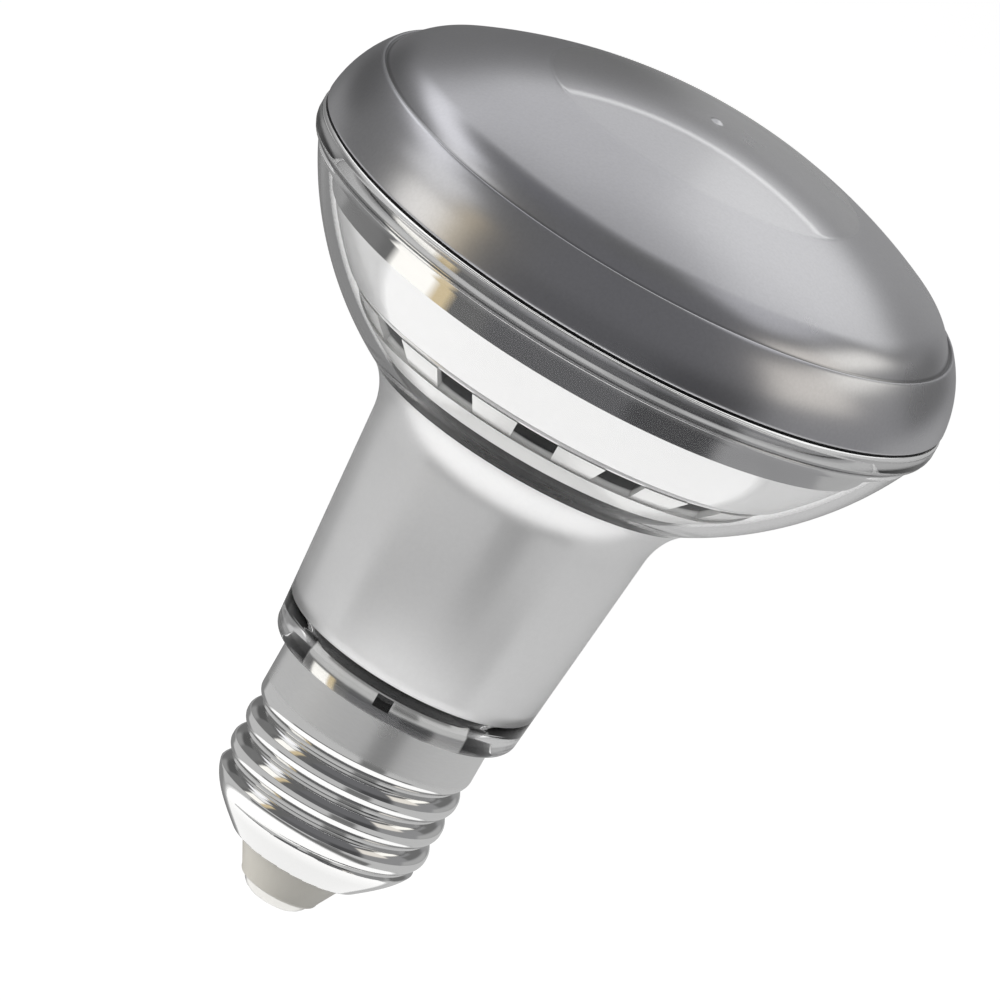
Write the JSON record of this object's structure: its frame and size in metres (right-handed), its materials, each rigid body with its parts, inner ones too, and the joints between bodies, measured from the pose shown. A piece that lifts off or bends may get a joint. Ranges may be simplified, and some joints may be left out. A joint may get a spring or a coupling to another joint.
{
  "type": "reflector bulb",
  "caption": "Reflector bulb with a domed satin front, a clear glass bowl and neck around a silver housing, and a round-thread screw cap with a centre contact.",
  "frame": {"origin": "the tip of the centre contact, on the lamp's axis", "axes": "+Z along the lamp's axis from the cap towards the front lens; -Y through the window in the collar; +X to the right when looking along +Y"},
  "size_m": [0.08, 0.08, 0.106],
  "materials": {
    "plated_contact": "nickel plated, satin",
    "insulator": "ivory, satin",
    "plated_cap": "nickel plated, polished by rolling",
    "polished_collar": "turned and polished",
    "black_seal": "matt black",
    "clear_glass": "clear, blown",
    "silver_housing": "satin silver",
    "heat_sink_metal": "turned",
    "thermal_pad": "matt grey",
    "white_board": "white solder mask",
    "light_source": "yellow phosphor",
    "steel_screw": "zinc plated",
    "polished_reflector": "spun and polished",
    "satin_lens": "satin silver grey, fine grain",
    "circuit_board": "green solder mask",
    "capacitor_can": "black sleeve",
    "film_case": "dipped",
    "ferrite": "sintered",
    "varistor_coat": "dipped",
    "resistor_body": "coated",
    "black_package": "moulded",
    "lead_wire": "bare wire"
  },
  "bodies": {
    "root": {"centre_contact": "plated_contact", "cap_insulator": "insulator", "screw_shell": "plated_cap", "collar_ring": "polished_collar", "neck_seal": "black_seal", "glass_bulb": "clear_glass", "driver_housing": "silver_housing", "heat_sink": "heat_sink_metal", "thermal_pad": "thermal_pad", "led_board": "white_board", "led_packages": "light_source", "board_screws": "steel_screw", "reflector_cup": "polished_reflector", "seam_seal": "black_seal", "front_lens": "satin_lens", "driver_board": "circuit_board", "input_capacitor": "capacitor_can", "output_capacitor": "capacitor_can", "film_capacitor": "film_case", "inductor": "ferrite", "surge_varistor": "varistor_coat", "fusible_resistor": "resistor_body", "bridge_rectifier": "black_package", "driver_chip": "black_package", "centre_lead": "lead_wire", "shell_lead": "lead_wire", "output_leads": "lead_wire"}
  },
  "joints": []
}
